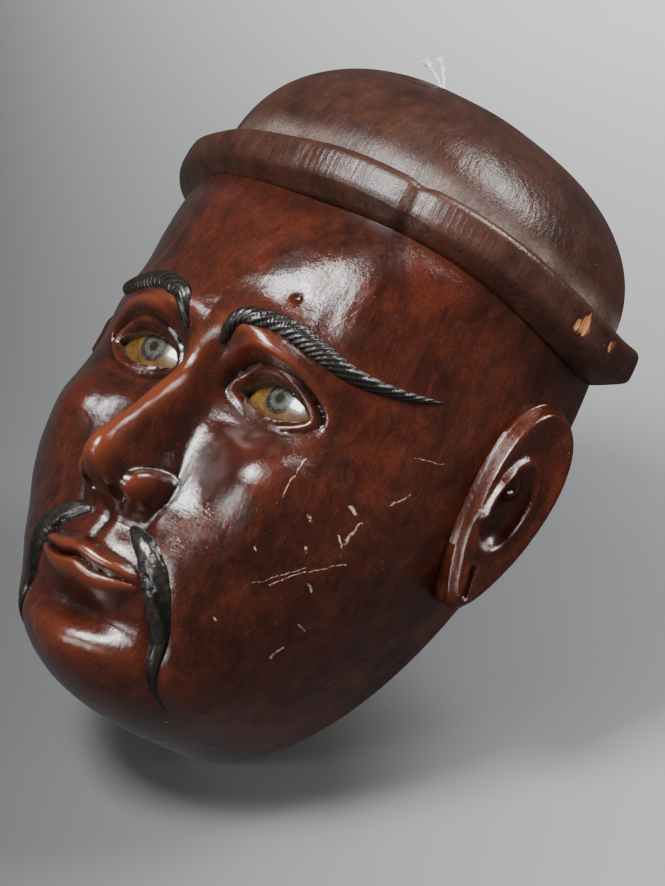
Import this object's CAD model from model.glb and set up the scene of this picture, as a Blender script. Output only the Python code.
"""The looks of a carved wooden wall mask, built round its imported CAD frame.

Shapes are worked out in millimetres in the frame's own axes (+Z up, +X to the mask's left ear,
the face looks along -Y, the flat back rim in Y = 0) and turned into metres as meshes are made.
"""
import math

import bpy
import numpy as np
from mathutils import Matrix, Vector
from mathutils.bvhtree import BVHTree


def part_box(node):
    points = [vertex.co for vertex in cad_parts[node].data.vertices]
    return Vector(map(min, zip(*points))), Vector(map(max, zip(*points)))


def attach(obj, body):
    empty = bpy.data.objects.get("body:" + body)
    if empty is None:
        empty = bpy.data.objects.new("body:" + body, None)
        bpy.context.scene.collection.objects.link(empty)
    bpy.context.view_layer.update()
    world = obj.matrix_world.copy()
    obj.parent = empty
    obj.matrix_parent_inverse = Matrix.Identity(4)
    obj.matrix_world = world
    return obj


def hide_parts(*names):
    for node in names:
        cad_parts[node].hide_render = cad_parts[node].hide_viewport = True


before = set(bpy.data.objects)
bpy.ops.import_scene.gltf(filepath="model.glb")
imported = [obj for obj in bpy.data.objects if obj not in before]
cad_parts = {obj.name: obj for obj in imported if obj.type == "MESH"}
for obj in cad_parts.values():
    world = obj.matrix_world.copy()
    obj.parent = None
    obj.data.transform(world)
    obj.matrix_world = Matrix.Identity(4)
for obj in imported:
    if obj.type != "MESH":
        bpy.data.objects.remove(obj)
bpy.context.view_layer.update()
MM = 0.001
SIDES = (("left", 1), ("right", -1))


def corners(node):
    """A CAD node's lowest and highest corners in millimetres."""
    low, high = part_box(node)
    return np.array(low) / MM, np.array(high) / MM


FACE_LOW, FACE_HIGH = corners("face_shell")
HAT_LOW, HAT_HIGH = corners("hat")
EYE_LOW, EYE_HIGH = corners("eye_glass_left")
EAR_LOW, EAR_HIGH = corners("ear_left")
ENDS_LOW, ENDS_HIGH = corners("cord_ends")
LOOP_LOW, LOOP_HIGH = corners("hanging_loop")

# Head and face: the face is divided in equal thirds.
CHIN_Z = FACE_LOW[2]
HEAD_HALF = FACE_HIGH[0]
WIDEST_Z = 205.0
DOME_TOP_Z = 350.0
WALL = 14.0
THIRD = 94.0
NOSE_BASE_Z = CHIN_Z + THIRD
BROW_Z = CHIN_Z + 2 * THIRD
MOUTH_Z = CHIN_Z + THIRD * 2 / 3
EYE_X = (EYE_LOW[0] + EYE_HIGH[0]) / 2
EYE_HALF = (EYE_HIGH[0] - EYE_LOW[0]) / 2
EYE_Z = BROW_Z - 22.0
EYE_RISE = EYE_HIGH[2] - EYE_Z
EYE_DROP = EYE_Z - EYE_LOW[2]
BALL_R = 22.0
BALL_DEPTH = -EYE_LOW[1] - 20.0

# Hat.
SEAT_END_Z = HAT_LOW[2]
SEAT_FRONT_Z = SEAT_END_Z + 19.0
BRIM_HALF = HAT_HIGH[0]
BRIM_DEPTH = -HAT_LOW[1]
BRIM_HEIGHT = 24.0
BRIM_PROUD = 12.0
CROWN_HALF = BRIM_HALF - 18.0
CROWN_LEAN = 0.12
CROWN_TOP_Z = SEAT_FRONT_Z + 94.0
CROWN_WALL = 14.0

# Cord.
CORD_R = 1.3
CORD_X = (LOOP_LOW[0] + LOOP_HIGH[0]) / 2
CORD_Y = (LOOP_LOW[1] + LOOP_HIGH[1]) / 2
KNOT_Z = CROWN_TOP_Z - CROWN_WALL - 10.0
TIP_Z = ENDS_HIGH[2]
CORD_LEAN = 15.0


# ---------------------------------------------------------------- helpers

def curve_through(knots, at):
    """A smooth curve through (position, value) knots, read at the given positions."""
    knots = np.array(knots, float)
    where, value = knots[:, 0], knots[:, 1]
    slope = np.gradient(value, where)
    at = np.clip(at, where[0], where[-1])
    i = np.clip(np.searchsorted(where, at) - 1, 0, len(where) - 2)
    step = where[i + 1] - where[i]
    t = (at - where[i]) / step
    start = (2 * t**3 - 3 * t**2 + 1) * value[i] + (t**3 - 2 * t**2 + t) * step * slope[i]
    return start + (t**3 - t**2) * step * slope[i + 1] + (3 * t**2 - 2 * t**3) * value[i + 1]


def hill(x, z, centre_x, centre_z, width, height):
    """A round hill of height 1."""
    return np.exp(-(((x - centre_x) / width) ** 2) - ((z - centre_z) / height) ** 2)


def joined(a, b, fillet):
    """The higher of two reliefs, with a fillet between them."""
    share = np.clip(0.5 + 0.5 * (a - b) / fillet, 0, 1)
    return b + (a - b) * share + fillet * share * (1 - share)


def eased(low, high, at):
    """A smooth step from 0 at low to 1 at high."""
    t = np.clip((at - low) / (high - low), 0, 1)
    return t * t * (3 - 2 * t)


def lumps(points, size, seed, octaves=3):
    """Smooth repeatable unevenness, about -1 to 1, of the given size in millimetres."""
    chance = np.random.default_rng(seed)
    total = np.zeros(points.shape[:-1])
    for octave in range(octaves):
        for _ in range(5):
            way = chance.normal(size=3)
            way *= 2 * math.pi / (size / 2**octave) / np.linalg.norm(way)
            total += np.sin(points @ way + chance.uniform(0, 2 * math.pi)) / 2**octave
    return total / 4.0


def grid_quads(rows, columns, first=0):
    """The quads of a grid of points."""
    at = first + np.arange(rows * columns).reshape(rows, columns)
    return np.stack([at[:-1, :-1], at[1:, :-1], at[1:, 1:], at[:-1, 1:]], axis=-1).reshape(-1, 4)


def border(rows, columns):
    """The grid's border, once round."""
    at = np.arange(rows * columns).reshape(rows, columns)
    return np.concatenate([at[:-1, 0], at[-1, :-1], at[:0:-1, -1], at[0, :0:-1]])


def piece(name, points, faces, material, sharp=None, marks=None):
    """A mesh object from points in millimetres; marks are named values per point."""
    mesh = bpy.data.meshes.new(name)
    mesh.from_pydata((np.asarray(points, float) * MM).tolist(), [], [list(map(int, f)) for f in faces])
    mesh.validate()
    for mark, values in (marks or {}).items():
        mesh.attributes.new(mark, "FLOAT", "POINT").data.foreach_set("value", np.asarray(values, np.float32).ravel())
    shape = bmesh_of(mesh)
    shape.to_mesh(mesh)
    shape.free()
    mesh.shade_smooth()
    if sharp:
        mesh.set_sharp_from_angle(angle=math.radians(sharp))
    mesh.materials.append(material)
    made = bpy.data.objects.new(name, mesh)
    bpy.context.scene.collection.objects.link(made)
    return made


def bmesh_of(mesh):
    import bmesh
    shape = bmesh.new()
    shape.from_mesh(mesh)
    bmesh.ops.recalc_face_normals(shape, faces=shape.faces)
    return shape


def stands_for(made, body, slot, *nodes):
    """Puts a piece on its body, in place of its CAD nodes."""
    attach(made, body)
    if nodes:
        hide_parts(*nodes)
    return made


# ---------------------------------------------------------------- materials

class Nodes:
    """Short calls for building a material's node tree."""

    def __init__(self, name):
        self.material = bpy.data.materials.new(name)
        self.material.use_nodes = True
        self.tree = self.material.node_tree
        self.shader = self.tree.nodes["Principled BSDF"]
        self.output = self.tree.nodes["Material Output"]

    def add(self, kind, **settings):
        made = self.tree.nodes.new(kind)
        for key, value in settings.items():
            setattr(made, key, value)
        return made

    def link(self, source, target):
        self.tree.links.new(source, target)

    def place(self, scale):
        """Places in the object's space, in units of 1 / scale metres."""
        coords = self.add("ShaderNodeTexCoord")
        mapping = self.add("ShaderNodeMapping")
        mapping.inputs["Scale"].default_value = scale
        self.link(coords.outputs["Object"], mapping.inputs["Vector"])
        return mapping.outputs["Vector"]

    def noise(self, scale, detail=4.0, rough=0.55, warp=0.0):
        made = self.add("ShaderNodeTexNoise")
        made.inputs["Scale"].default_value = 1.0
        made.inputs["Detail"].default_value = detail
        made.inputs["Roughness"].default_value = rough
        made.inputs["Distortion"].default_value = warp
        self.link(self.place(scale), made.inputs["Vector"])
        return made.outputs["Fac"]

    def cells(self, scale, feature="F1"):
        made = self.add("ShaderNodeTexVoronoi", feature=feature)
        made.inputs["Scale"].default_value = 1.0
        self.link(self.place(scale), made.inputs["Vector"])
        return made.outputs["Distance"]

    def mark(self, name):
        made = self.add("ShaderNodeAttribute", attribute_name=name)
        return made.outputs["Fac"]

    def ramp(self, source, low, high, start=0.0, end=1.0):
        made = self.add("ShaderNodeMapRange")
        made.inputs["From Min"].default_value = low
        made.inputs["From Max"].default_value = high
        made.inputs["To Min"].default_value = start
        made.inputs["To Max"].default_value = end
        self.link(source, made.inputs["Value"])
        return made.outputs["Result"]

    def math(self, operation, first, second):
        made = self.add("ShaderNodeMath", operation=operation)
        for k, value in enumerate((first, second)):
            if isinstance(value, (int, float)):
                made.inputs[k].default_value = value
            else:
                self.link(value, made.inputs[k])
        return made.outputs[0]

    def mix(self, share, first, second, blend="MIX"):
        made = self.add("ShaderNodeMix", data_type="RGBA", blend_type=blend)
        for socket, value in ((made.inputs[0], share), (made.inputs[6], first), (made.inputs[7], second)):
            if isinstance(value, (int, float)):
                socket.default_value = value
            elif isinstance(value, tuple):
                socket.default_value = (*value, 1.0)
            else:
                self.link(value, socket)
        return made.outputs[2]

    def vector(self, operation, first, second):
        made = self.add("ShaderNodeVectorMath", operation=operation)
        for k, value in enumerate((first, second)):
            if isinstance(value, tuple):
                made.inputs[k].default_value = value
            elif value is not None:
                self.link(value, made.inputs[k])
        return made

    def scratch(self, start, end, width):
        """1 within a thin wandering line between two places (x, z) in millimetres, seen from the front."""
        coords = self.add("ShaderNodeTexCoord").outputs["Object"]
        wander = self.add("ShaderNodeTexNoise")
        wander.inputs["Scale"].default_value = 110.0
        self.link(coords, wander.inputs["Vector"])
        shift = self.vector("SUBTRACT", wander.outputs["Color"], (0.5, 0.5, 0.5))
        shift = self.vector("MULTIPLY", shift.outputs[0], (0.0035, 0, 0.0035))
        flat = self.vector("MULTIPLY", coords, (1, 0, 1))
        moved = self.vector("ADD", flat.outputs[0], shift.outputs[0])
        a, b = Vector((start[0], 0, start[1])) * MM, Vector((end[0], 0, end[1])) * MM
        way = (b - a).normalized()
        from_a = self.vector("SUBTRACT", moved.outputs[0], tuple(a))
        along = self.vector("DOT_PRODUCT", from_a.outputs[0], tuple(way)).outputs["Value"]
        reach = self.add("ShaderNodeClamp")
        reach.inputs["Max"].default_value = (b - a).length
        self.link(along, reach.inputs["Value"])
        spot = self.vector("SCALE", tuple(way), None)
        self.link(reach.outputs[0], spot.inputs["Scale"])
        gone = self.vector("SUBTRACT", from_a.outputs[0], spot.outputs[0])
        away = self.vector("LENGTH", gone.outputs[0], None).outputs["Value"]
        broken = self.ramp(self.noise((520, 520, 520), 4.0, 0.7), 0.42, 0.56, 0.0, 1.0)
        return self.math("MULTIPLY", self.ramp(away, 0.10 * width * MM, 0.42 * width * MM, 1.0, 0.0), broken)

    def bump(self, height, distance, strength=1.0, under=None):
        made = self.add("ShaderNodeBump")
        made.inputs["Distance"].default_value = distance
        made.inputs["Strength"].default_value = strength
        self.link(height, made.inputs["Height"])
        if under is not None:
            self.link(under, made.inputs["Normal"])
        return made.outputs["Normal"]

    def finish(self, color, roughness, normal=None, coat=0.0, coat_roughness=0.1, metallic=0.0):
        for name, value in (("Base Color", color), ("Roughness", roughness), ("Metallic", metallic),
                            ("Coat Weight", coat), ("Coat Roughness", coat_roughness)):
            socket = self.shader.inputs[name]
            if isinstance(value, (int, float)):
                socket.default_value = value
            elif isinstance(value, tuple):
                socket.default_value = (*value, 1.0)
            else:
                self.link(value, socket)
        if normal is not None:
            self.link(normal, self.shader.inputs["Normal"])
            self.link(normal, self.shader.inputs["Coat Normal"])
        return self.material


def varnished_wood(name, dark, mid, light, gloss, dust=0.0, scratches=()):
    """Stained wood under varnish: long grain, mottled stain, dark hollows, worn edges and scratches."""
    n = Nodes(name)
    mottle = n.noise((26, 26, 18), 7.0, 0.66, 0.6)
    blotch = n.noise((110, 110, 70), 6.0, 0.68, 0.3)
    grain = n.noise((640, 640, 60), 4.0, 0.6)
    fine = n.noise((1350, 1350, 330), 4.0, 0.65)
    color = n.mix(n.ramp(mottle, 0.34, 0.62), dark, mid)
    color = n.mix(n.ramp(blotch, 0.52, 0.76, 0.0, 0.5), color, light)
    color = n.mix(n.ramp(blotch, 0.46, 0.30, 0.0, 0.7), color, dark)
    color = n.mix(n.ramp(grain, 0.50, 0.74, 0.0, 0.20), color, light)
    color = n.mix(n.ramp(fine, 0.48, 0.66, 0.0, 0.6), color, dark)
    color = n.mix(n.ramp(n.mark("hollow"), 0.0, 0.9, 0.0, 0.9), color, tuple(0.3 * c for c in dark))
    color = n.mix(n.ramp(n.mark("edge"), 0.15, 1.0, 0.0, 0.5), color, tuple(min(1, 1.5 * c) for c in light))
    flecks = n.noise((240, 240, 420), 3.0, 0.6, 1.5)
    color = n.mix(n.ramp(flecks, 0.745, 0.765, 0.0, 0.85), color, (0.45, 0.24, 0.12))
    for start, end, width in scratches:
        color = n.mix(n.scratch(start, end, width), color, (0.66, 0.50, 0.34))
    if dust:
        lodged = n.ramp(n.noise((420, 420, 900), 4.0, 0.65, 0.6), 0.36, 0.60, 0.25, dust)
        color = n.mix(n.math("MULTIPLY", n.mark("dust"), lodged), color, (0.34, 0.27, 0.23))
        raw = n.math("ADD", n.mark("chip"), n.ramp(grain, 0.3, 0.7, -0.3, 0.3))
        color = n.mix(n.ramp(raw, 0.46, 0.58), color, (0.60, 0.25, 0.09))
    peel = n.noise((380, 380, 330), 3.0, 0.6)
    cracks = n.noise((300, 300, 1300), 3.0, 0.65, 0.8)
    skin = n.math("ADD", n.math("MULTIPLY", peel, 0.5), n.math("MULTIPLY", cracks, 0.5))
    normal = n.bump(n.noise((70, 70, 26), 3.0, 0.5), 0.0016, 0.5)
    normal = n.bump(n.ramp(fine, 0.3, 0.7), 0.0001, 0.35, normal)
    normal = n.bump(skin, 0.0006, 0.38, normal)
    if dust:
        chatter = n.noise((420, 420, 24), 2.0, 0.6)
        normal = n.bump(chatter, 0.0007, 0.4, normal)
    rough = n.ramp(n.noise((75, 75, 60), 4.0, 0.6), 0.3, 0.7, gloss - 0.07, gloss + 0.10)
    if dust:
        rough = n.math("ADD", rough, n.math("MULTIPLY", n.mark("dust"), 0.3))
    return n.finish(color, rough, normal, coat=0.9 if not dust else 0.2, coat_roughness=gloss * 0.62)


def painted_hair(name):
    """Glossy black paint, rubbed thin on the high strokes."""
    n = Nodes(name)
    rub = n.noise((300, 300, 300), 4.0, 0.6)
    color = n.mix(n.ramp(rub, 0.60, 0.72, 0.0, 0.6), (0.006, 0.0055, 0.005), (0.06, 0.035, 0.022))
    color = n.mix(n.ramp(n.mark("edge"), 0.55, 1.0, 0.0, 0.22), color, (0.10, 0.07, 0.05))
    normal = n.bump(n.noise((700, 700, 700), 3.0, 0.6), 0.0003, 0.5)
    return n.finish(color, n.ramp(rub, 0.3, 0.7, 0.20, 0.46), normal, coat=0.3, coat_roughness=0.14)


def raw_hollow(name):
    """The unvarnished gouged inside."""
    n = Nodes(name)
    grain = n.noise((380, 380, 18), 4.0, 0.6)
    color = n.mix(n.ramp(grain, 0.35, 0.68), (0.10, 0.055, 0.03), (0.27, 0.16, 0.09))
    color = n.mix(n.ramp(n.noise((30, 30, 20), 4.0), 0.42, 0.66, 0.0, 0.7), color, (0.07, 0.035, 0.02))
    normal = n.bump(grain, 0.0005, 0.7)
    return n.finish(color, 0.72, normal)


def glass_eye(name, side):
    """Glass painted behind: crackled ochre, a dark iris ring and a silvery pupil."""
    n = Nodes(name)
    coords = n.add("ShaderNodeTexCoord")
    shift = n.add("ShaderNodeVectorMath", operation="SUBTRACT")
    shift.inputs[1].default_value = (side * EYE_X * MM, 0, (EYE_Z + 4.6) * MM)
    n.link(coords.outputs["Object"], shift.inputs[0])
    flat = n.add("ShaderNodeVectorMath", operation="MULTIPLY")
    flat.inputs[1].default_value = (1, 0, 1)
    n.link(shift.outputs[0], flat.inputs[0])
    away = n.add("ShaderNodeVectorMath", operation="LENGTH")
    n.link(flat.outputs[0], away.inputs[0])
    reach = away.outputs["Value"]
    crackle = n.cells((1300, 1300, 1300), "DISTANCE_TO_EDGE")
    ochre = n.mix(n.ramp(n.noise((160, 160, 160), 4.0), 0.3, 0.7), (0.075, 0.038, 0.010), (0.26, 0.145, 0.040))
    ochre = n.mix(n.ramp(crackle, 0.0, 0.16, 0.85, 0.0), ochre, (0.05, 0.025, 0.009))
    streak = n.noise((700, 700, 700), 3.0)
    ring = n.mix(n.ramp(streak, 0.4, 0.7), (0.012, 0.010, 0.009), (0.07, 0.06, 0.05))
    silver = n.mix(n.ramp(streak, 0.35, 0.65), (0.04, 0.037, 0.03), (0.13, 0.125, 0.10))
    color = n.mix(n.ramp(reach, 0.0074, 0.0084), ring, ochre)
    color = n.mix(n.ramp(reach, 0.0050, 0.0060), silver, color)
    color = n.mix(n.ramp(reach, 0.0020, 0.0034), (0.015, 0.014, 0.012), color)
    normal = n.bump(n.noise((500, 500, 500), 2.0), 0.0001, 0.3)
    return n.finish(color, 0.22, normal, coat=1.0, coat_roughness=0.04)


def pitch(name):
    """Lumpy dark paste."""
    n = Nodes(name)
    tone = n.noise((200, 200, 200), 4.0)
    color = n.mix(n.ramp(tone, 0.35, 0.65), (0.02, 0.012, 0.008), (0.09, 0.055, 0.035))
    return n.finish(color, 0.55, n.bump(tone, 0.0015, 0.8))


def cotton(name):
    """White twisted cord with fine fibres."""
    n = Nodes(name)
    fibre = n.noise((2500, 2500, 600), 3.0)
    color = n.mix(n.ramp(fibre, 0.3, 0.7), (0.80, 0.81, 0.80), (0.96, 0.97, 0.96))
    return n.finish(color, 0.85, n.bump(fibre, 0.0003, 0.8))


# ---------------------------------------------------------------- head form

def squared_disc(u, v):
    """Places on a square grid moved onto a disc: closeness to the edge, and direction."""
    across, along = u * np.sqrt(1 - v * v / 2) + 1e-7, v * np.sqrt(1 - u * u / 2)
    reach = np.clip(np.hypot(across, along), 1e-9, 1)
    return reach, across / reach, along / reach


def head_dome(u, v, inset):
    """The plain head form, made smaller by the inset: x, z, depth and share of full depth."""
    reach, side, rise = squared_disc(u, v)
    low = rise < 0
    power = np.where(low, 1.98, 2.5)
    tall = np.where(low, WIDEST_Z - CHIN_Z, DOME_TOP_Z - WIDEST_Z) - inset
    rim = (np.abs(side / (HEAD_HALF - inset)) ** power + np.abs(rise / tall) ** power) ** (-1 / power)
    fullness = 2.0 + np.where(low, 3.0, 2.2) * np.abs(rise) ** 2.5
    turn = reach * np.pi / 2
    out = (np.sin(turn) ** fullness + np.cos(turn) ** fullness) ** (-1 / fullness)
    spread, share = out * np.sin(turn) * rim, out * np.cos(turn)
    x, z = spread * side, WIDEST_Z + spread * rise
    profile = ((CHIN_Z, 124), (6, 133), (20, 135), (38, 126), (60, 128), (NOSE_BASE_Z, 127), (115, 122),
               (EYE_Z, 119), (BROW_Z, 127), (212, 124), (238, 115), (SEAT_FRONT_Z, 104), (DOME_TOP_Z, 70))
    return x, z, share * (curve_through(profile, z) - 1.6 * inset), share


def seat_height(depth):
    """The height of the hat's seat at this depth in front of the back plane."""
    return SEAT_END_Z + (SEAT_FRONT_Z - SEAT_END_Z) * eased(0.1, 1.05, depth / BRIM_DEPTH)


def below_seat(u, inset):
    """For each u, the v at which the dome meets the hat's seat."""
    low, high = np.full_like(u, -1.0), np.full_like(u, 1.0)
    for _ in range(40):
        middle = (low + high) / 2
        _, z, depth, _ = head_dome(u, middle, inset)
        under = z < seat_height(depth) - 0.2
        low, high = np.where(under, middle, low), np.where(under, high, middle)
    return low


def nose(x, z):
    """The nose's height over the face: bridge, tip and wings."""
    height = curve_through(((79, 0), (84, 4), (89, 17), (94, 30), (100, 38), (107, 40.5), (116, 37), (128, 30),
                            (142, 22), (158, 13), (172, 7), (190, 0)), z)
    half = curve_through(((82, 13), (96, 13.5), (106, 12), (118, 9.5), (140, 9), (165, 9.5), (185, 15)), z)
    bridge = height / (1 + (x / half) ** 3.2)
    slant = z - 97.5 - 0.30 * (x - 14)
    wing = 22.5 - 0.15 * (x - 14.0) ** 2 - 0.085 * slant**2 - 0.0009 * slant**4
    nook = 3.2 * np.exp(-(((x - 24.5 + 0.10 * np.abs(z - 100) ** 1.3) / 2.6) ** 2)) * hill(0, z, 0, 100, 1, 13)
    return joined(bridge, np.clip(wing, -6, None), 6.0) - nook


def lips(x, z):
    """Closed lips: the upper with its bow, the lower fuller."""
    reach = np.clip(1 - (x / 31) ** 2, 0, 1)
    line = MOUTH_Z + 1.1 * np.exp(-((x / 7) ** 2)) - 1.0 * np.exp(-(((x - 12) / 8) ** 2)) + 0.001 * x**2
    top = 9.5 * reach**0.6 * (1 - 0.22 * np.exp(-((x / 3.6) ** 2))) + 0.8
    bottom = 11.5 * reach**0.75 + 0.8
    over, under = (z - line) / top, (line - z) / bottom
    upper = 8.0 * reach**0.55 * np.exp(-np.clip(np.abs(over - 0.40) / 0.56, 0, 9) ** 3.2)
    lower = 9.5 * reach**0.55 * np.exp(-np.clip(np.abs(under - 0.44) / 0.56, 0, 9) ** 3.0)
    part = 2.6 * reach**0.3 * np.exp(-(((z - line) / 1.5) ** 2))
    return np.where(z > line, upper, lower) - part


def lid_edges(share):
    """Height of the eye opening's upper and lower edge over the eye line; share is -1 at the nose, 1 outside."""
    room = np.clip(1 - share**2, 0, 1)
    return EYE_RISE * room**0.72 * (1 - 0.12 * share), -EYE_DROP * room**0.9 * (1 + 0.15 * share)


def hair_line(t):
    """Half the moustache's middle line on the face as x and z, t from 0 at the nose to 1 at the jaw."""
    x = curve_through(((0, 13), (0.15, 22), (0.35, 33), (0.6, 40.5), (0.8, 43), (1, 43.5)), t)
    return x, NOSE_BASE_Z - 8 - 12 * t - 56 * t**1.8


def moustache_bed(x, z):
    """1 along the groove that the moustache lies in."""
    near = np.full(np.shape(x), 99.0)
    for t in np.linspace(0, 1, 60):
        line_x, line_z = hair_line(np.array(t))
        width = 7.5 - 3.5 * t
        near = np.minimum(near, np.hypot(x - line_x, z - line_z) / width)
    return np.exp(-near**2)


def eyelids(x, z):
    """Rolled lids with a crease round the eye opening, as height over the socket."""
    away = np.full(np.shape(x), 99.0)
    for point in opening_outline(90):
        away = np.minimum(away, np.hypot(x - point[0], z - point[1]))
    above = eased(-2.0, 4.0, z)
    roll = (1.7 + 0.9 * above) * np.exp(-np.clip(np.abs(away - 2.2) / 2.3, 0, 9) ** 3)
    crease = (1.2 + 0.9 * above) * np.exp(-(((away - 5.6 - 0.8 * above) / 1.1) ** 2))
    fold = 1.5 * above * np.exp(-np.clip(np.abs(away - 10.0) / 3.0, 0, 9) ** 3)
    return roll - crease + fold


def relief(x, z, depth):
    """The face's features, added to the plain head form."""
    pit = np.hypot(x - 33, z - BROW_Z - 27)
    depth = depth - 1.3 * np.exp(-((pit / 1.8) ** 2)) - 0.5 * np.exp(-((pit / 4.5) ** 2))
    x = np.abs(x)
    depth = depth + 9 * hill(x, z, 60, 124, 24, 20) - 7 * hill(x, z, 76, 66, 24, 30)
    depth = depth + 8 * hill(x, z - 5 * np.cos(x / 22), 37, BROW_Z + 1, 30, 9) - 4 * hill(x, z, 94, 195, 15, 30)
    depth = depth - 17 * hill(x, z, EYE_X - 5, EYE_Z + 3, 22, 13) - 3 * hill(x, z, EYE_X, EYE_Z - 17, 20, 5)
    over_ball = (BALL_R + 3) ** 2 - (x - EYE_X) ** 2 - 1.9 * (z - EYE_Z) ** 2
    ball = np.where(over_ball > 0, BALL_DEPTH - 0.5 + np.sqrt(np.clip(over_ball, 0, None)), 0)
    depth = joined(depth, ball, 3)
    depth = depth + eyelids(x - EYE_X, z - EYE_Z) + nose(x, z)
    depth = depth - 2.6 * moustache_bed(x, z)
    depth = depth + 8 * hill(x, z, 0, MOUTH_Z + 3, 36, 24)
    depth = depth - 2.5 * hill(x, z, 0, NOSE_BASE_Z - 9, 3.4, 9) - 6 * hill(x, z, 0, MOUTH_Z - 19, 24, 7)
    depth = depth + 7 * hill(x, z, 0, 13, 24, 15)
    return depth + lips(x, z)


FACE_ROWS, FACE_COLUMNS = 301, 257


def head_grid(inset, detailed, rows, columns):
    """Rows of points from the chin's back edge over the face to the hat's seat."""
    across = np.linspace(-1, 1, columns)
    across = across * (0.56 + 0.44 * np.abs(across) ** 1.6)
    up = curve_through(((0, 0), (0.10, 0.20), (0.80, 0.74), (1, 1)), np.linspace(0, 1, rows))
    u, s = np.meshgrid(across, up)
    v = -1 + (below_seat(u, inset) + 1) * s
    x, z, depth, share = head_dome(u, v, inset)
    if detailed:
        near_rim = eased(0, 0.3, share)
        depth = depth + (relief(x, z, depth) - depth) * near_rim
    return np.stack([x, -depth, z], axis=-1)


def normals_of(surface):
    """Unit normals of a grid of points, pointing away from the head's middle."""
    normal = np.cross(np.gradient(surface, axis=0), np.gradient(surface, axis=1))
    normal /= np.linalg.norm(normal, axis=-1)[..., None] + 1e-12
    outward = surface - np.array((0, 0, 140.0))
    return normal * np.where((normal * outward).sum(axis=-1) < 0, -1, 1)[..., None]


def smoothed(values, times):
    """Neighbouring values evened out over the grid."""
    for _ in range(times):
        padded = np.pad(values, [(1, 1), (1, 1)] + [(0, 0)] * (values.ndim - 2), mode="edge")
        values = (values * 4 + padded[:-2, 1:-1] + padded[2:, 1:-1] + padded[1:-1, :-2] + padded[1:-1, 2:]) / 8
    return values


def hollows(surface, times, size):
    """How far each point lies below and above its surroundings, as two marks from 0 to 1."""
    away = ((smoothed(surface, times) - surface) * normals_of(surface)).sum(axis=-1) / size
    return np.clip(away, 0, 1), np.clip(-away, 0, 1)


def gouged(surface):
    """Scoop marks of a wide gouge on the inside."""
    height, around = surface[..., 2], np.arctan2(surface[..., 0], -surface[..., 1] + 20)
    row = height / 17.0
    shift = np.floor(row) * 0.37
    scoop = (np.abs(np.sin(math.pi * row)) ** 0.6) * (np.abs(np.sin(math.pi * (around * 5.2 + shift))) ** 0.6)
    keep = 1 - np.exp(-surface[..., 1] ** 2 / 60)
    return surface + normals_of(surface) * (1.5 * scoop * keep + 0.8 * lumps(surface, 60, 5) * keep)[..., None]


def rim_faces(rows, columns, first):
    """Triangles from a grid's border to the border of a grid with half its steps."""
    outer = border(rows, columns)
    inner = first + border(rows // 2 + 1, columns // 2 + 1)
    faces = []
    for k in range(len(inner)):
        a, b, c = outer[2 * k], outer[2 * k + 1], outer[(2 * k + 2) % len(outer)]
        d, e = inner[k], inner[(k + 1) % len(inner)]
        faces += [(a, b, d), (b, e, d), (b, c, e)]
    return faces


def carve(made, tool):
    """Takes a tool's shape out of a piece, and removes the tool."""
    boolean = made.modifiers.new("carve", "BOOLEAN")
    boolean.operation = "DIFFERENCE"
    boolean.solver = "MANIFOLD"
    boolean.object = tool
    bpy.context.view_layer.update()
    graph = bpy.context.evaluated_depsgraph_get()
    carved = bpy.data.meshes.new_from_object(made.evaluated_get(graph))
    made.modifiers.clear()
    made.data = carved
    bpy.data.objects.remove(tool)


def opening_outline(count, grow=0.0):
    """The eye opening's outline as (x, z) from the eye's middle, nose side first."""
    turn = np.linspace(0, 2 * math.pi, count, endpoint=False)
    share = -np.cos(turn)
    high, low = lid_edges(share)
    z = np.where(np.sin(turn) >= 0, high, low)
    return np.stack([share * (EYE_HALF + grow), z + grow * np.sign(np.sin(turn))], axis=-1)


def eye_hole(side, material):
    """A prism with the opening's outline, right through the wall."""
    outline = opening_outline(96)
    count = len(outline)
    points = [(side * (EYE_X + x), y, EYE_Z + z) for y in (-160, -60) for x, z in outline]
    faces = [tuple(range(count)), tuple(range(count, 2 * count))]
    faces += [(k, (k + 1) % count, count + (k + 1) % count, count + k) for k in range(count)]
    return piece("eye_hole", points, faces, material)


def ball(name, centre, radii, material):
    """An ellipsoid that cuts."""
    bpy.ops.mesh.primitive_uv_sphere_add(segments=40, ring_count=24, location=Vector(centre) * MM)
    made = bpy.context.object
    made.name = name
    made.scale = Vector(radii) * MM
    bpy.ops.object.transform_apply(location=False, scale=True)
    made.data.materials.append(material)
    return made


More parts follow.
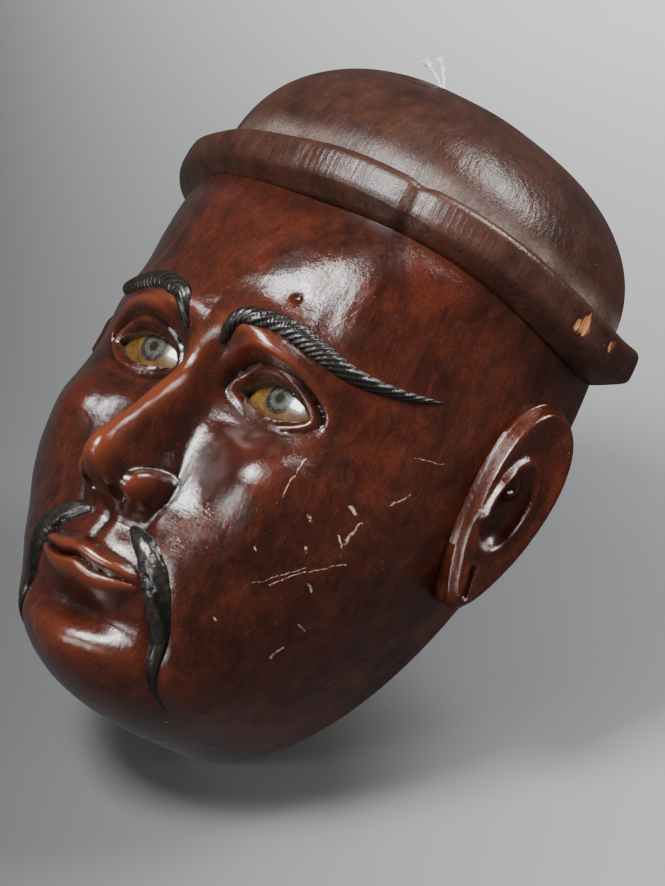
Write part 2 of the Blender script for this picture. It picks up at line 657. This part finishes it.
def make_face(wood, inside):
    """The carved head, closed round its flat back rim and under the hat."""
    outer = head_grid(0.0, True, FACE_ROWS, FACE_COLUMNS)
    wave = 0.35 * lumps(outer, 46, 1) * eased(0, 25, -outer[..., 1])
    outer = outer + normals_of(outer) * wave[..., None]
    inner = gouged(head_grid(WALL, False, FACE_ROWS // 2 + 1, FACE_COLUMNS // 2 + 1))
    for grid in (inner, outer):
        grid[0, :, 1] = grid[:, 0, 1] = grid[:, -1, 1] = 0
    count = FACE_ROWS * FACE_COLUMNS
    front = grid_quads(FACE_ROWS, FACE_COLUMNS)
    back = grid_quads(*inner.shape[:2], count)
    faces = [*front, *back, *rim_faces(FACE_ROWS, FACE_COLUMNS, count)]
    low, high = hollows(outer, 30, 1.6)
    none = np.zeros(inner.shape[0] * inner.shape[1])
    marks = {"hollow": np.concatenate([low.ravel(), none]), "edge": np.concatenate([high.ravel(), none])}
    made = piece("carved_face", np.concatenate([outer.reshape(-1, 3), inner.reshape(-1, 3)]), faces, wood, 50, marks)
    made.data.materials.append(inside)
    which = np.zeros(len(made.data.polygons), np.int32)
    which[len(front):] = 1
    made.data.polygons.foreach_set("material_index", which)
    for _, side in SIDES:
        carve(made, eye_hole(side, inside))
        carve(made, ball("nostril", (side * 9.5, -144, NOSE_BASE_Z + 1.5), (4.6, 8.5, 5.0), wood))
    made.data.set_sharp_from_angle(angle=math.radians(50))
    return made, outer


# ---------------------------------------------------------------- hat

HAT_COLUMNS, HAT_ROWS = 261, 101
BRIM_SHARE = 0.585


def hat_profile(rows):
    """The hat's section: each row's share of the brim's overhang, height over the seat and turn up the crown."""
    knots = ((0.0, 1.5, -1.0), (0.10, 1.1, -0.4), (0.15, 0.85, 0.8), (0.19, 0.48, 3.4), (0.23, 0.16, 5.8),
             (0.255, 0.05, 7.2), (0.28, 0.01, 8.8), (0.33, 0.0, 13.0), (0.38, 0.02, 18.5), (0.405, 0.06, 21.0),
             (0.43, 0.18, 23.0), (0.46, 0.36, 23.9), (0.50, 0.62, 23.6), (0.54, 0.84, 23.2), (BRIM_SHARE, 1.0, 24.4))
    share = np.linspace(0, 1, rows)
    inset = curve_through([(t, i) for t, i, _ in knots], share)
    height = curve_through([(t, h) for t, _, h in knots], share)
    turn = np.radians(np.clip((share - BRIM_SHARE) / (1 - BRIM_SHARE), 0, 1) * 89.2)
    return inset, height, turn


def hat_outside():
    """Points over the brim and crown."""
    inset, height, turn = (row[:, None] for row in hat_profile(HAT_ROWS))
    way = np.radians(np.linspace(-90, 90, HAT_COLUMNS))[None, :]
    sine, cosine = np.sin(way), np.clip(np.cos(way), 0, 1)
    cosine[:, [0, -1]] = 0
    narrow, rise = np.cos(turn) ** 0.9, np.sin(turn) ** 0.95
    half = (BRIM_HALF - inset * (BRIM_HALF - CROWN_HALF)) * narrow
    deep = (BRIM_DEPTH - inset * BRIM_PROUD) * narrow
    seat = seat_height(cosine * np.where(height < 10, BRIM_DEPTH - inset * BRIM_PROUD, BRIM_DEPTH)) + height
    across = half * sine
    z = seat + (CROWN_TOP_Z - 1.0 - seat) * rise - CROWN_LEAN * across * rise
    surface = np.stack([across, -deep * cosine + 0 * half, z], axis=-1)
    on_brim = 1 - eased(0.5, 0.62, np.linspace(0, 1, HAT_ROWS))[:, None]
    round_brim = np.broadcast_to(way, surface.shape[:2])
    wobble = 1.3 * np.sin(2.3 * round_brim + 0.6) + 0.8 * np.sin(5.1 * round_brim + 1.9) + 0.5 * np.sin(11 * round_brim)
    fade = eased(0, 18, -surface[..., 1])
    curl = 5.0 * eased(math.radians(30), math.radians(65), -round_brim) * np.clip(1 - inset**2, 0, 1)
    surface[..., 2] += (wobble * 0.8 * fade + curl) * on_brim
    dent = 1.5 * np.exp(-(((round_brim - DENT_WAY) / 0.035) ** 2)) * on_brim
    push = (0.8 * lumps(surface, 75, 3, 2) - dent) * fade
    push -= 1.2 * chip_mark(surface, 1.0)
    return surface + normals_of_hat(surface) * push[..., None]


DENT_WAY = 0.42
CHIPS = ((1.20, 14.0, 2.6), (1.16, 11.0, 1.4), (1.36, 16.0, 1.3))


def chip_mark(surface, sharp):
    """1 at the chips on the brim's face, falling off over each one's size."""
    total = np.zeros(surface.shape[:-1])
    for way, height, size in CHIPS:
        centre = np.array((BRIM_HALF * math.sin(way), -BRIM_DEPTH * math.cos(way), 0))
        centre[2] = seat_height(-centre[1]) + height
        away = surface - centre
        away[..., 2] *= 0.45
        total = np.maximum(total, np.exp(-((np.linalg.norm(away, axis=-1) / size) ** 2) * sharp))
    return total


def normals_of_hat(surface):
    normal = np.cross(np.gradient(surface, axis=0), np.gradient(surface, axis=1))
    length = np.linalg.norm(normal, axis=-1)[..., None]
    normal = normal / np.maximum(length, 1e-9)
    middle = normal[HAT_ROWS // 4, HAT_COLUMNS // 2]
    return normal if middle[1] < 0 else -normal


def hat_inside():
    """Points over the hollow of the crown."""
    share = np.linspace(0, 1, HAT_ROWS)[:, None]
    way = np.radians(np.linspace(-90, 90, HAT_COLUMNS))[None, :]
    sine, cosine = np.sin(way), np.clip(np.cos(way), 0, 1)
    cosine[:, [0, -1]] = 0
    turn = np.radians(np.clip((share - BRIM_SHARE) / (1 - BRIM_SHARE), 0, 1) * 89.2)
    narrow, rise = np.cos(turn) ** 0.9, np.sin(turn) ** 0.85
    across = (HEAD_HALF - WALL - 2) * narrow * sine
    half_deep = BRIM_DEPTH - BRIM_PROUD - 1.6 * WALL
    deep = half_deep * narrow
    seat = seat_height(cosine * half_deep) - 1.0 + np.clip(share / BRIM_SHARE, 0, 1) * (BRIM_HEIGHT + 1.0)
    z = seat + (CROWN_TOP_Z - CROWN_WALL - seat) * rise - CROWN_LEAN * across * rise
    return gouged(np.stack([across, -deep * cosine + 0 * across, z], axis=-1))


def make_hat(wood, inside):
    """Crown and rolled brim, hollow inside."""
    outer, inner = hat_outside(), hat_inside()
    for grid in (outer, inner):
        grid[:, [0, -1], 1] = 0
    count = HAT_ROWS * HAT_COLUMNS
    top, under = 2 * count, 2 * count + 1
    points = np.concatenate([outer.reshape(-1, 3), inner.reshape(-1, 3),
                             [(0, 0, CROWN_TOP_Z - 1.0), (0, 0, CROWN_TOP_Z - CROWN_WALL)]])
    front = [*grid_quads(HAT_ROWS, HAT_COLUMNS)]
    last = (HAT_ROWS - 1) * HAT_COLUMNS
    front += [(last + i, last + i + 1, top) for i in range(HAT_COLUMNS - 1)]
    back = [*grid_quads(HAT_ROWS, HAT_COLUMNS, count)]
    back += [(count + last + i, count + last + i + 1, under) for i in range(HAT_COLUMNS - 1)]
    seat = [(i, i + 1, count + i + 1, count + i) for i in range(HAT_COLUMNS - 1)]
    for edge in (0, HAT_COLUMNS - 1):
        line = [row * HAT_COLUMNS + edge for row in range(HAT_ROWS)]
        back.append((*line, top, under, *(count + at for at in reversed(line))))
    low, high = hollows_of_hat(outer)
    rows = np.linspace(0, 1, HAT_ROWS)[:, None]
    dust = np.exp(-(((rows - 0.595) / 0.024) ** 2)) * (0.75 + 0.5 * lumps(outer, 30, 8))
    extra = np.zeros(count + 2)
    marks = {"hollow": low, "edge": high, "dust": np.clip(dust, 0, 1), "chip": chip_mark(outer, 0.7)}
    marks = {name: np.concatenate([values.ravel(), extra]) for name, values in marks.items()}
    made = piece("carved_hat", points, front + seat + back, wood, 50, marks)
    made.data.materials.append(inside)
    which = np.zeros(len(made.data.polygons), np.int32)
    which[len(front) + len(seat):] = 1
    made.data.polygons.foreach_set("material_index", which)
    hole = ball("cord_hole", (CORD_X, CORD_Y, CROWN_TOP_Z - 6), (3.0, 3.0, 24.0), inside)
    carve(made, hole)
    made.data.set_sharp_from_angle(angle=math.radians(50))
    return made


def hollows_of_hat(surface):
    away = ((smoothed(surface, 12) - surface) * normals_of_hat(surface)).sum(axis=-1) / 1.2
    return np.clip(away, 0, 1), np.clip(-away, 0, 1)


# ---------------------------------------------------------------- hair, eyes, ears, cord

def swept(path, normal, widths, heights, around, shape):
    """A raised strip along a path on the face; shape gives each point's share of the section."""
    along = np.gradient(path, axis=0)
    along /= np.linalg.norm(along, axis=1)[:, None]
    normal = normal - along * (normal * along).sum(axis=1)[:, None]
    normal /= np.linalg.norm(normal, axis=1)[:, None]
    across = np.cross(along, normal)
    turn = np.linspace(0, 2 * math.pi, around, endpoint=False)
    steps = np.linspace(0, 1, len(path))[:, None]
    swell = shape(steps, turn[None, :])
    out = (widths[:, None] * np.cos(turn) * swell)[..., None] * across[:, None]
    lift = np.where(np.sin(turn) > 0, heights[:, None] * np.sin(turn) * swell, 2.5 * np.sin(turn) + 0 * heights[:, None])
    points = path[:, None] + out + lift[..., None] * normal[:, None]
    count = len(path)
    at = np.arange(count * around).reshape(count, around)
    nxt = np.roll(at, -1, axis=1)
    faces = np.stack([at[:-1], nxt[:-1], nxt[1:], at[1:]], axis=-1).reshape(-1, 4).tolist()
    faces += [at[0].tolist(), at[-1].tolist()]
    high = np.clip((swell - swell.min()) / (np.ptp(swell) + 1e-9), 0, 1) * (np.sin(turn) > 0)
    return points.reshape(-1, 3), faces, high.ravel()


def on_face(tree, x, z):
    """The face's surface point and normal at this x and z."""
    place, normal, _, _ = tree.ray_cast(Vector((x, -400, z)), Vector((0, 1, 0)))
    return np.array(place), np.array(normal)


def path_on_face(tree, flat):
    """Surface points and evened-out normals along a flat path of (x, z)."""
    found = [on_face(tree, x, z) for x, z in flat]
    path = np.array([place for place, _ in found])
    normal = np.array([way if way[1] < 0 else -way for _, way in found])
    for _ in range(12):
        normal[1:-1] = (normal[:-2] + normal[1:-1] * 2 + normal[2:]) / 4
        path[1:-1, 1] = (path[:-2, 1] + path[1:-1, 1] * 2 + path[2:, 1]) / 4
    return path, normal / np.linalg.norm(normal, axis=1)[:, None]


def make_brow(tree, side, paint, word):
    """An arched eyebrow of slanted carved strokes with a long tail out over the temple."""
    t = np.linspace(0, 1, 320)
    line = ((11, -6), (16, 4), (28, 10), (42, 11), (56, 8), (70, 5), (82, 6), (93, 10), (100, 14))
    x = 11 + 89 * t
    z = BROW_Z + curve_through(line, x)
    path, normal = path_on_face(tree, np.stack([side * x, z], axis=-1))
    widths = curve_through(((0, 2.2), (0.1, 4.6), (0.3, 5.6), (0.55, 4.9), (0.8, 3.2), (0.94, 1.7), (1, 0.3)), t)

    def strokes(step, turn):
        beat = 25 * step + 0.7 * np.sin(13 * step) + 1.5 * np.cos(turn + 0.5)
        wave = np.abs(np.sin(math.pi * beat))
        fine = np.abs(np.sin(math.pi * 3 * beat))
        return 0.82 + 0.17 * wave**0.55 + 0.04 * fine
    points, faces, high = swept(path, normal, widths, widths * 0.95, 36, strokes)
    return piece("brow_" + word, points, faces, paint, None, {"edge": high})


def make_moustache(tree, side, paint, word):
    """Half a moustache: from beside the nose, round the mouth and down to the jaw in slanted strands."""
    t = np.linspace(0, 1, 320)
    x, z = hair_line(t)
    path, normal = path_on_face(tree, np.stack([side * x, z], axis=-1))
    widths = curve_through(((0, 1.8), (0.10, 4.6), (0.35, 7.2), (0.6, 6.6), (0.85, 3.4), (1, 0.3)), t)

    def strands(step, turn):
        beat = 1.5 * turn - 5.0 * step + 0.5 * np.sin(7 * step)
        wave = np.abs(np.sin(beat))
        fine = np.abs(np.sin(3 * beat + 2 * step))
        notch = np.abs(np.sin(math.pi * (9 * step - 1.3 * np.cos(turn))))
        return 0.76 + 0.16 * wave**0.5 + 0.04 * fine + 0.06 * notch**0.4
    points, faces, high = swept(path, normal, widths, widths * 0.68, 40, strands)
    return piece("half_moustache_" + word, points, faces, paint, None, {"edge": high})


def make_eye(side, glass, word):
    """A glass eye: a domed cap behind the opening, closed at the back."""
    count = 61
    steps = np.linspace(-1, 1, count)
    u, v = np.meshgrid(steps, steps)
    reach, across, along = squared_disc(u, v)
    x, z = reach * across * (EYE_HALF + 0.8), reach * along * 11.5
    y = -(BALL_DEPTH - 25.0 + np.sqrt(44.5**2 - x**2 - z**2))
    front = np.stack([side * EYE_X + x, y, EYE_Z + 1 + z], axis=-1)
    back = front.copy()
    back[..., 1] = -(BALL_DEPTH - 3.0)
    total = count * count
    loop = border(count, count)
    following = np.roll(loop, -1)
    rim = np.stack([loop, following, following + total, loop + total], axis=-1)
    faces = [*grid_quads(count, count), *grid_quads(count, count, total), *rim]
    return piece("glass_" + word, np.concatenate([front.reshape(-1, 3), back.reshape(-1, 3)]), faces, glass, 40)


EAR_GRID = 161
EAR_HALF_WIDE = 20.5
EAR_CURL = ((14, -9), (13.5, 0), (12.5, 8), (8.5, 13.5), (3.5, 12.5), (1.5, 8), (4.5, 5))
EAR_SLIT = ((4.0, -33), (0.5, -46))


def off_line(across, along, line, steps):
    """How far places on a flat face lie from a line through some of its places."""
    share = np.linspace(0, 1, len(line))
    near = np.full(np.shape(across), 99.0)
    for t in np.linspace(0, 1, steps):
        x = curve_through(list(zip(share, (p[0] for p in line))), t)
        z = curve_through(list(zip(share, (p[1] for p in line))), t)
        near = np.minimum(near, np.hypot(across - x, along - z))
    return near


def ear_height(forward, up, reach):
    """The ear's carved height over its plate: rolled rim, shelf, egg-shaped bowl, curl and slit lobe."""
    upper = eased(-36, -18, up)
    height = 7.0 + 2.5 * eased(-30, 20, up)
    shelf = np.hypot((forward - 0.5) / 18.0, (up - 9.0) / 40.0)
    height -= 3.6 * (1 - eased(0.60, 1.02, shelf)) * upper
    bowl = np.hypot((forward - 3.0 + 0.07 * up) / 12.0, (up + 1.0) / 24.0)
    height += 3.2 * np.exp(-(((bowl - 1.0) / 0.15) ** 2)) * upper * eased(-14, 2, 12 - forward + 0.2 * up)
    height -= 3.2 * (1 - eased(0.55, 0.92, bowl))
    curl = off_line(forward, up, EAR_CURL, 40)
    height += 3.6 * np.exp(-((curl / 2.6) ** 2))
    height -= 2.4 * np.exp(-((np.hypot(forward - 6.5, up + 2.0) / 4.2) ** 2))
    slit = off_line(forward, up, EAR_SLIT, 20)
    height += 0.9 * np.exp(-(((slit - 2.6) / 1.2) ** 2)) - 2.0 * np.exp(-((slit / 1.1) ** 2))
    return height


def make_ear(side, wood, word):
    """A long ear standing out at the head's back edge."""
    steps = np.linspace(-1, 1, EAR_GRID)
    u, v = np.meshgrid(steps, steps)
    reach, across, along = squared_disc(u, v)
    way = np.arctan2(along, across)
    half_wide, half_tall = EAR_HALF_WIDE, (EAR_HIGH[2] - EAR_LOW[2]) / 2
    swell = 1.0 + 0.24 * along - 0.12 * eased(0.3, 1.0, -along)
    forward = reach * across * half_wide * swell
    up = reach * along * half_tall * (1 + 0.02 * np.cos(2 * way))
    height = ear_height(forward, up, reach)
    edge = eased(0.86, 1.0, reach)
    height = height * (1 - edge**2.5) + 1.0 * edge**2.5
    outward = np.array((side * 0.93, -0.37, 0.0))
    ahead = np.array((-side * 0.37, -0.93, 0.0))
    tilt = math.radians(2)
    rise = np.array((0, 0, 1.0)) * math.cos(tilt) - ahead * math.sin(tilt)
    ahead = ahead * math.cos(tilt) + np.array((0, 0, 1.0)) * math.sin(tilt)
    centre = np.array((side * (HEAD_HALF - 1.0), (EAR_LOW[1] + EAR_HIGH[1]) / 2, (EAR_LOW[2] + EAR_HIGH[2]) / 2))
    top = (centre + outward * (height + 2)[..., None] + ahead * forward[..., None] + rise * up[..., None])
    base = (centre - outward * 12.0 + ahead * (forward * 0.97)[..., None] + rise * (up * 0.97)[..., None])
    for grid in (top, base):
        grid[..., 1] = np.minimum(grid[..., 1], -0.4)
    wave = 0.3 * lumps(top, 26, 11 + side)
    top[..., 0] += side * wave * (1 - edge)
    count = EAR_GRID**2
    loop = border(EAR_GRID, EAR_GRID)
    following = np.roll(loop, -1)
    sides = np.stack([loop, following, following + count, loop + count], axis=-1)
    faces = [*grid_quads(EAR_GRID, EAR_GRID), *grid_quads(EAR_GRID, EAR_GRID, count), *sides]
    fall = (smoothed(height, 10) - height) / 3.0
    none = np.zeros(count)
    marks = {"hollow": np.concatenate([np.clip(fall, 0, 1).ravel(), none]),
             "edge": np.concatenate([np.clip(-fall, 0, 1).ravel(), none])}
    return piece("carved_ear_" + word, np.concatenate([top.reshape(-1, 3), base.reshape(-1, 3)]), faces, wood, 60, marks)


def make_plug(side, paste, word):
    """A thumbed lump of paste behind the eye."""
    low, high = corners("eye_plug_" + word)
    middle, half = (low + high) / 2, (high - low) / 2
    steps = np.linspace(0, 2 * math.pi, 64, endpoint=False)
    rise = np.linspace(-math.pi / 2, math.pi / 2, 34)[1:-1]
    lat, lon = np.meshgrid(rise, steps, indexing="ij")
    way = np.stack([np.cos(lat) * np.cos(lon), np.sin(lat), np.cos(lat) * np.sin(lon)], axis=-1)
    points = way * (half * np.array((1.12, 0.98, 1.25)))
    points = points * (1 + 0.10 * lumps(points + 40 * side, 17, 21))[..., None] + middle
    count = lat.shape[1]
    at = np.arange(lat.size).reshape(lat.shape)
    nxt = np.roll(at, -1, axis=1)
    faces = np.stack([at[:-1], nxt[:-1], nxt[1:], at[1:]], axis=-1).reshape(-1, 4).tolist()
    faces += [at[0].tolist(), at[-1].tolist()]
    return piece("paste_" + word, points.reshape(-1, 3), faces, paste)


def strand(path, radius, around=10):
    """A round tube along a path, its ends closed; radius may vary."""
    path = np.array(path, float)
    radius = np.broadcast_to(radius, len(path))
    along = np.gradient(path, axis=0)
    along /= np.linalg.norm(along, axis=1)[:, None] + 1e-12
    across = np.cross(along[0], (0.3, 1, 0.1))
    points = []
    for place, way, wide in zip(path, along, radius):
        across = across - way * np.dot(across, way)
        across /= np.linalg.norm(across)
        other = np.cross(way, across)
        turn = np.linspace(0, 2 * math.pi, around, endpoint=False)[:, None]
        points.append(place + wide * (np.cos(turn) * across + np.sin(turn) * other))
    at = np.arange(len(path) * around).reshape(len(path), around)
    nxt = np.roll(at, -1, axis=1)
    faces = np.stack([at[:-1], nxt[:-1], nxt[1:], at[1:]], axis=-1).reshape(-1, 4).tolist()
    return np.concatenate(points), faces + [at[0].tolist(), at[-1].tolist()]


def twisted(path, spread, thick, pitch_mm, plies):
    """Thin plies laid round a path as a twisted cord; spread is how far each lies from the path."""
    path = np.array(path, float)
    spread = np.broadcast_to(spread, len(path))
    along = np.gradient(path, axis=0)
    along /= np.linalg.norm(along, axis=1)[:, None]
    length = np.concatenate([[0], np.cumsum(np.linalg.norm(np.diff(path, axis=0), axis=1))])
    across = np.cross(along, (0.05, 1, 0.02))
    across /= np.linalg.norm(across, axis=1)[:, None]
    other = np.cross(along, across)
    points, faces, count = [], [], 0
    for ply in range(plies):
        turn = 2 * math.pi * (length / pitch_mm + ply / plies)
        reach = spread * (1 + 0.35 * np.sin(5 * ply + 0.11 * length))
        ring = path + reach[:, None] * (np.cos(turn)[:, None] * across + np.sin(turn)[:, None] * other)
        found, joins = strand(ring, thick * (1 + 0.12 * np.sin(length * 1.7 + ply)), 8)
        faces += [[k + count for k in face] for face in joins]
        points.append(found)
        count += len(found)
    return np.concatenate(points), faces


def joined_strands(name, strands, material):
    """One piece from several lists of points and faces."""
    points, faces, count = [], [], 0
    for found, joins in strands:
        faces += [[k + count for k in face] for face in joins]
        points.append(found)
        count += len(found)
    return piece(name, np.concatenate(points), faces, material)


def make_cord_ends(twine):
    """Two frayed ends that stand out of the crown, twisted down to a knot inside."""
    t = np.linspace(0, 1, 150)
    free = np.clip((t - 0.66) / 0.34, 0, 1)
    strands = []
    for side, reach, tall in ((1, 0.75, 1.0), (-1, 1.0, 0.80)):
        x = CORD_X + side * (0.9 * np.minimum(1, 4 * t) + 1.2 * free) - CORD_LEAN * reach * free**1.3
        z = KNOT_Z + (TIP_Z - KNOT_Z) * (t - (1 - tall) * 0.34 * free)
        y = CORD_Y - side * 0.8 * free + 0.5 * np.sin(5 * t)
        strands.append(twisted(np.stack([x, y, z], axis=-1), 0.46 + 1.5 * free**3, 0.44, 6.5, 5))
    turn = np.linspace(0, 7 * math.pi, 120)
    wrap = np.stack([2.2 * np.cos(turn), 2.2 * np.sin(turn), (turn / turn[-1] - 0.5) * 4.2], axis=-1)
    strands.append(twisted(wrap + np.array((CORD_X, CORD_Y, KNOT_Z)), 0.45, 0.42, 5.0, 3))
    return joined_strands("cotton_ends", strands, twine)


def make_cord_loop(twine):
    """The twisted loop that the mask hangs by."""
    turn = np.linspace(0.02, 2 * math.pi - 0.02, 260)
    low = (1 - np.cos(turn)) / 2
    bulge = np.sin(turn) * (0.35 + 0.65 * low)
    half = (LOOP_HIGH[0] - LOOP_LOW[0]) / 2 - CORD_R
    top, bottom = LOOP_HIGH[2] - CORD_R, LOOP_LOW[2] + CORD_R
    path = np.stack([CORD_X + half * bulge / bulge.max(), CORD_Y + 0.4 * np.sin(3 * turn), top + (bottom - top) * low],
                    axis=-1)
    return joined_strands("cotton_loop", [twisted(path, 0.62, 0.56, 6.0, 3)], twine)


# ---------------------------------------------------------------- stage

AZIMUTH, ELEVATION, ROLL = map(math.radians, (37.0, -6.0, 27.0))
VIEW_DISTANCE = 1.2
VIEW_SCALE = 2.05
TARGET = Vector((0, -0.06, 0.17))
CAMERA_SHIFT = (0.0685, -0.055)


def view_axes():
    """The camera's right, up and backward directions."""
    back = Vector((math.sin(AZIMUTH) * math.cos(ELEVATION), -math.cos(AZIMUTH) * math.cos(ELEVATION),
                   math.sin(ELEVATION)))
    right = Vector((math.cos(AZIMUTH), math.sin(AZIMUTH), 0))
    up = back.cross(right)
    across = math.cos(ROLL) * right + math.sin(ROLL) * up
    return across, math.cos(ROLL) * up - math.sin(ROLL) * right, back


def pale_floor():
    """Pale matt grey, seen from above only, fading out into the room far from the mask."""
    n = Nodes("pale_floor")
    coords = n.add("ShaderNodeTexCoord")
    away = n.add("ShaderNodeVectorMath", operation="LENGTH")
    n.link(coords.outputs["Object"], away.inputs[0])
    split = n.add("ShaderNodeSeparateXYZ")
    n.link(coords.outputs["Window"], split.inputs[0])
    shade = n.mix(n.ramp(split.outputs["X"], 0.0, 1.0), (0.135, 0.14, 0.145), (0.39, 0.395, 0.405))
    n.link(shade, n.shader.inputs["Base Color"])
    n.shader.inputs["Roughness"].default_value = 0.7
    clear = n.add("ShaderNodeBsdfTransparent")
    facing = n.add("ShaderNodeNewGeometry").outputs["Backfacing"]
    gone = n.math("MAXIMUM", n.ramp(away.outputs["Value"], 0.35, 1.3), facing)
    gone = n.math("MAXIMUM", gone, n.add("ShaderNodeLightPath").outputs["Is Glossy Ray"])
    mixed = n.add("ShaderNodeMixShader")
    n.link(gone, mixed.inputs[0])
    n.link(n.shader.outputs[0], mixed.inputs[1])
    n.link(clear.outputs[0], mixed.inputs[2])
    n.link(mixed.outputs[0], n.output.inputs["Surface"])
    return n.material


def make_floor(across):
    """A floor that the tilted mask's jaw just touches."""
    lean = math.atan2(across.z, across.y)
    normal = Vector((0, -math.sin(lean), math.cos(lean)))
    points = face_points.reshape(-1, 3) * MM
    lowest = (points @ np.array(normal)).min()
    bpy.ops.mesh.primitive_plane_add(size=6.0)
    floor = bpy.context.object
    floor.name = "floor"
    touch = Vector((0, -0.06, 0))
    touch += normal * (lowest - touch.dot(normal) - 0.0005)
    floor.matrix_world = Matrix.Translation(touch) @ normal.to_track_quat("Z", "Y").to_matrix().to_4x4()
    floor.data.materials.append(pale_floor())


def room_light(world):
    """A pale backdrop, lighter to the upper right, that gives the mask only a weak even light."""
    world.use_nodes = True
    tree = world.node_tree
    output, seen = tree.nodes["World Output"], tree.nodes["Background"]

    def add(kind, **settings):
        made = tree.nodes.new(kind)
        for key, value in settings.items():
            setattr(made, key, value)
        return made

    def math_of(operation, first, second):
        made = add("ShaderNodeMath", operation=operation)
        for k, value in enumerate((first, second)):
            if isinstance(value, (int, float)):
                made.inputs[k].default_value = value
            else:
                tree.links.new(value, made.inputs[k])
        return made.outputs[0]

    split = add("ShaderNodeSeparateXYZ")
    tree.links.new(add("ShaderNodeTexCoord").outputs["Window"], split.inputs[0])
    left = math_of("POWER", math_of("SUBTRACT", 1.0, split.outputs["X"]), 1.5)
    shade = math_of("SUBTRACT", 1.15, math_of("MULTIPLY", left, 0.86))
    lower = add("ShaderNodeMapRange", interpolation_type="SMOOTHSTEP")
    for name, value in (("From Min", 0.40), ("From Max", 0.80), ("To Min", 0.72), ("To Max", 1.0)):
        lower.inputs[name].default_value = value
    tree.links.new(split.outputs["Y"], lower.inputs["Value"])
    tree.links.new(math_of("MULTIPLY", shade, lower.outputs["Result"]), seen.inputs["Strength"])
    seen.inputs["Color"].default_value = (0.98, 0.99, 1.0, 1)
    path = add("ShaderNodeLightPath")
    weak = add("ShaderNodeBackground")
    weak.inputs["Color"].default_value = (0.50, 0.51, 0.52, 1)
    glossy = math_of("MULTIPLY", path.outputs["Is Glossy Ray"], 0.18)
    tree.links.new(math_of("SUBTRACT", 0.36, glossy), weak.inputs["Strength"])
    mixed = add("ShaderNodeMixShader")
    tree.links.new(path.outputs["Is Camera Ray"], mixed.inputs[0])
    tree.links.new(weak.outputs[0], mixed.inputs[1])
    tree.links.new(seen.outputs[0], mixed.inputs[2])
    tree.links.new(mixed.outputs[0], output.inputs["Surface"])


def make_stage():
    """A pale floor under the tilted mask, soft lights and the camera."""
    across, upward, back = view_axes()
    make_floor(across)
    camera = bpy.data.objects.new("camera", bpy.data.cameras.new("camera"))
    bpy.context.scene.collection.objects.link(camera)
    camera.data.lens = 36.0 * VIEW_SCALE * VIEW_DISTANCE / MM / 886
    camera.data.shift_x, camera.data.shift_y = CAMERA_SHIFT
    turn = Matrix((across, upward, back)).transposed()
    camera.matrix_world = Matrix.Translation(TARGET + back * VIEW_DISTANCE) @ turn.to_4x4()
    bpy.context.scene.camera = camera
    world = bpy.data.worlds.new("pale_room")
    bpy.context.scene.world = world
    room_light(world)
    lamps = (((-0.50, 0.75, 0.75), 0.36, 19.0, True), ((0.60, 0.85, 0.30), 0.30, 8.0, True),
             ((-0.85, -0.05, 0.7), 0.35, 3.5, True), ((0.90, -0.10, 0.85), 0.60, 3.2, False),
             ((0.25, 0.45, -1.1), 0.50, 6.0, False))
    for k, ((side, rise, near), size, power, shines) in enumerate(lamps):
        lamp = bpy.data.lights.new(f"soft_light_{k}", "AREA")
        lamp.size = size
        lamp.energy = power
        made = bpy.data.objects.new(f"soft_light_{k}", lamp)
        made.visible_camera = False
        made.visible_glossy = shines
        bpy.context.scene.collection.objects.link(made)
        place = TARGET + across * side + upward * rise + back * near
        aim = (TARGET - place).to_track_quat("-Z", "Y").to_matrix().to_4x4()
        made.matrix_world = Matrix.Translation(place) @ aim


SCRATCHES = (((97, 128), (95, 115), 0.8), ((98, 108), (78, 84), 0.6), ((88, 98), (72, 80), 0.5),
             ((72, 142), (73, 122), 0.7), ((104, 150), (101, 141), 0.7), ((84, 62), (80, 55), 0.7),
             ((60, 216), (55, 206), 0.5), ((108, 170), (100, 166), 0.4), ((93, 118), (96, 110), 1.1),
             ((92, 132), (94, 130), 2.2), ((90, 92), (91, 90), 1.8), ((88, 74), (89, 73), 1.1),
             ((83, 120), (84, 118), 1.7), ((70, 96), (71, 95), 1.4), ((86, 107), (87, 105), 1.6),
             ((62, 60), (63, 59), 1.3), ((40, 222), (41, 221), 1.3))
face_wood = varnished_wood("face_wood", (0.017, 0.0042, 0.0026), (0.088, 0.0165, 0.0068), (0.165, 0.036, 0.013), 0.20,
                           scratches=SCRATCHES)
hat_wood = varnished_wood("hat_wood", (0.026, 0.010, 0.007), (0.074, 0.026, 0.016), (0.125, 0.047, 0.029), 0.33, 0.62)
paint = painted_hair("hair_paint")
paste = pitch("eye_paste")
inside_wood = raw_hollow("inside_wood")
face, face_points = make_face(face_wood, inside_wood)
stands_for(face, "mask", "stained_wood", "face_shell")
hat = make_hat(hat_wood, inside_wood)
stands_for(hat, "mask", "hat_wood", "hat")
tree = BVHTree.FromPolygons(face_points.reshape(-1, 3).tolist(), grid_quads(FACE_ROWS, FACE_COLUMNS).tolist())
for word, side in SIDES:
    stands_for(make_brow(tree, side, paint, word), "mask", "black_paint", "eyebrow_" + word)
    stands_for(make_moustache(tree, side, paint, word), "mask", "black_paint", "moustache_" + word)
    stands_for(make_eye(side, glass_eye("eye_glass_" + word, side), word), "mask", "eye_glass", "eye_glass_" + word)
    stands_for(make_ear(side, face_wood, word), "mask", "stained_wood", "ear_" + word)
    stands_for(make_plug(side, paste, word), "mask", "eye_paste", "eye_plug_" + word)
twine = cotton("white_cotton")
stands_for(make_cord_ends(twine), "mask", "cord", "cord_ends")
stands_for(make_cord_loop(twine), "loop", "cord", "hanging_loop")
make_stage()
